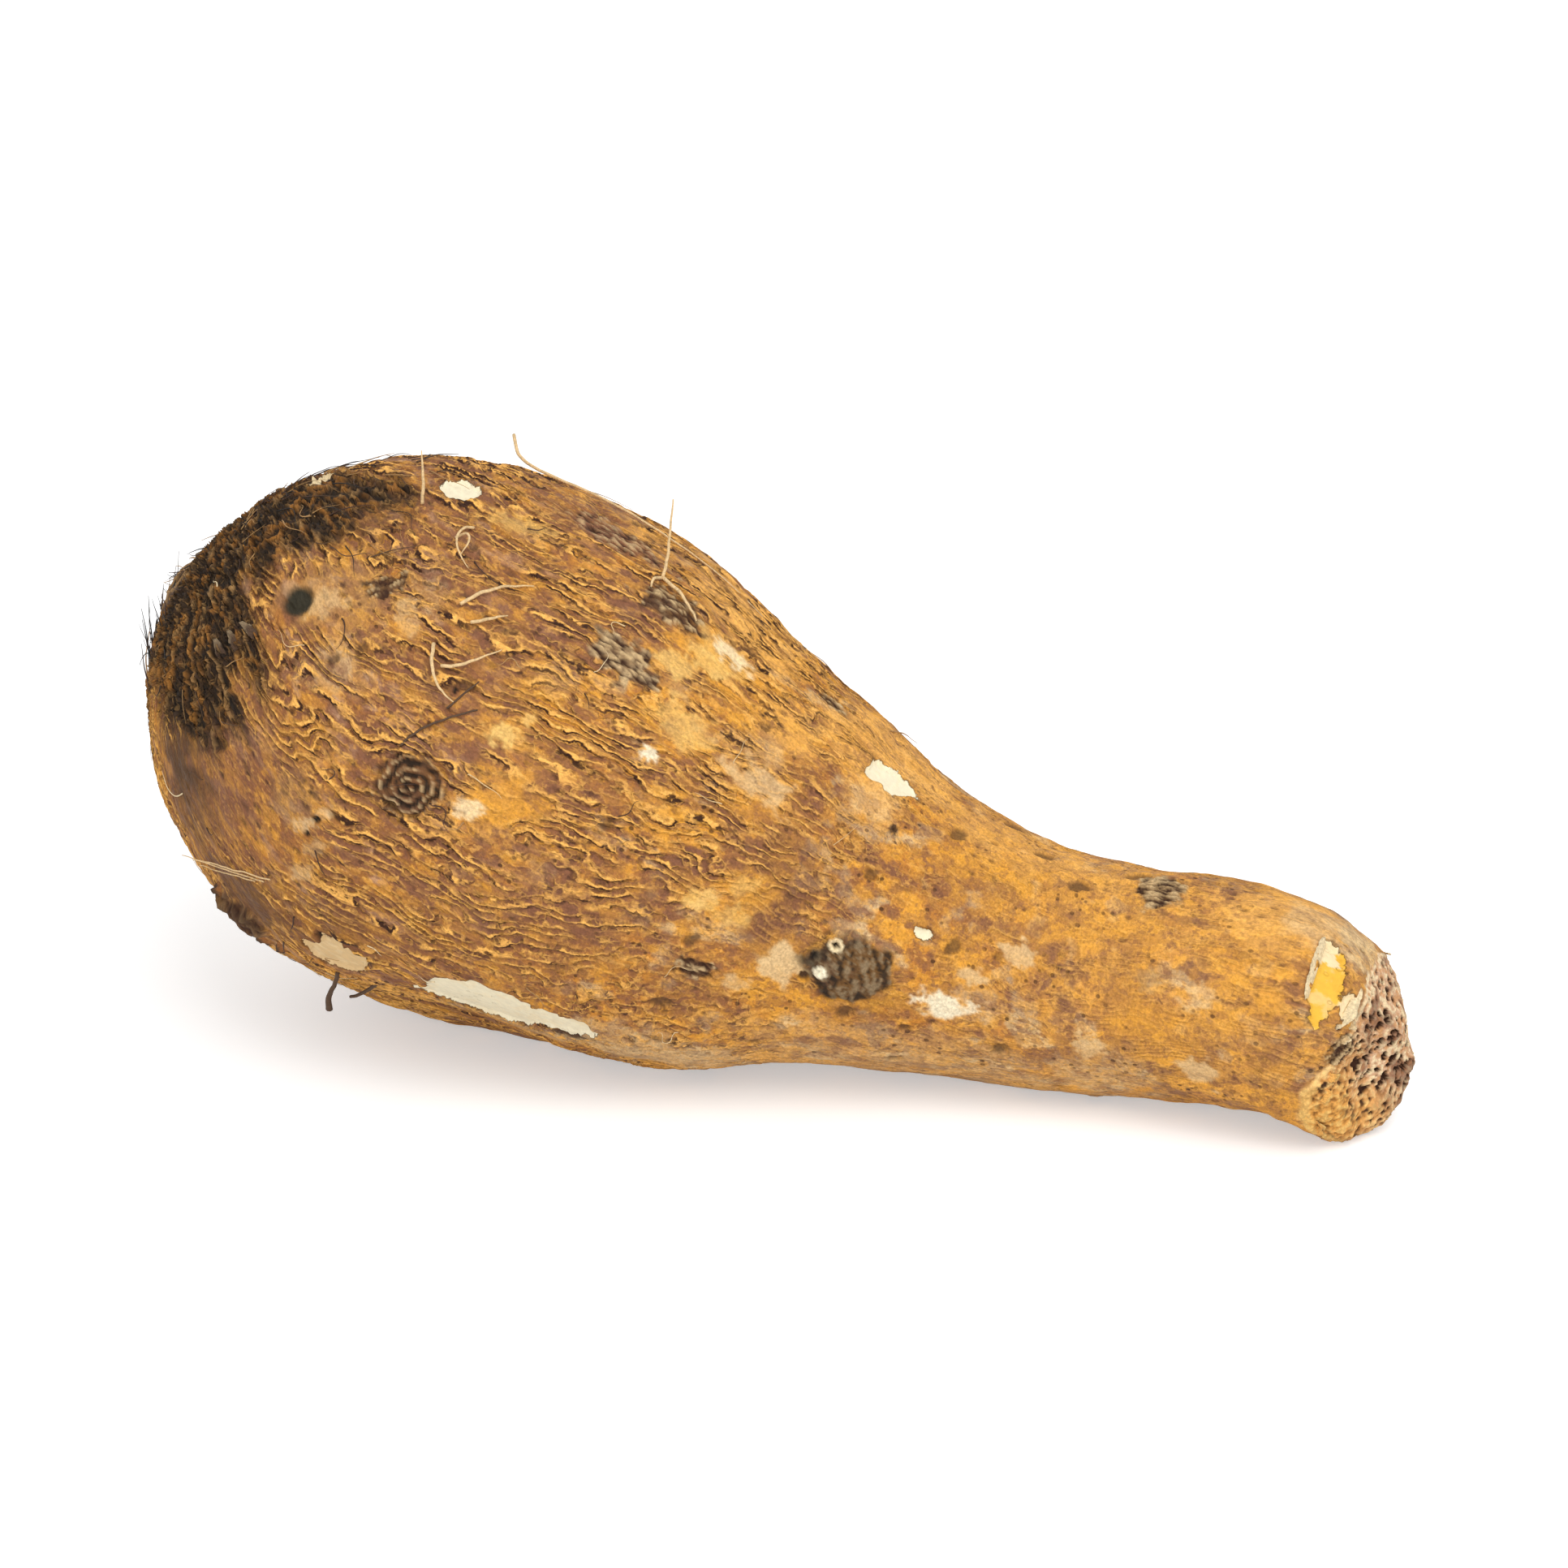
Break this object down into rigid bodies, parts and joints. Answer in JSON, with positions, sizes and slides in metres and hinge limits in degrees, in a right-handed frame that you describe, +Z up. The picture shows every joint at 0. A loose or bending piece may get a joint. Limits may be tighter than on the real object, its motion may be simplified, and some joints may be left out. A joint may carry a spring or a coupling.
{
  "type": "taro root",
  "caption": "Club-shaped taro root lying on its side: a fat ridged body, a long bent neck and a torn end.",
  "frame": {"origin": "on the plane it rests on, under the middle of its bounding box", "axes": "+X along the root from its crown to its broken end, +Y away from its seen side, +Z up"},
  "size_m": [0.1758, 0.072, 0.0797],
  "materials": {
    "skin": "dry golden-brown skin, ridged along the root, with corky eyes and pale scars",
    "flesh": "dry torn flesh, cream to tan, with dark pits and fibre ends",
    "rootlet": "dry brown rootlets, hairs and skin fibres"
  },
  "bodies": {
    "root": {"taro_root": "skin"}
  },
  "joints": []
}
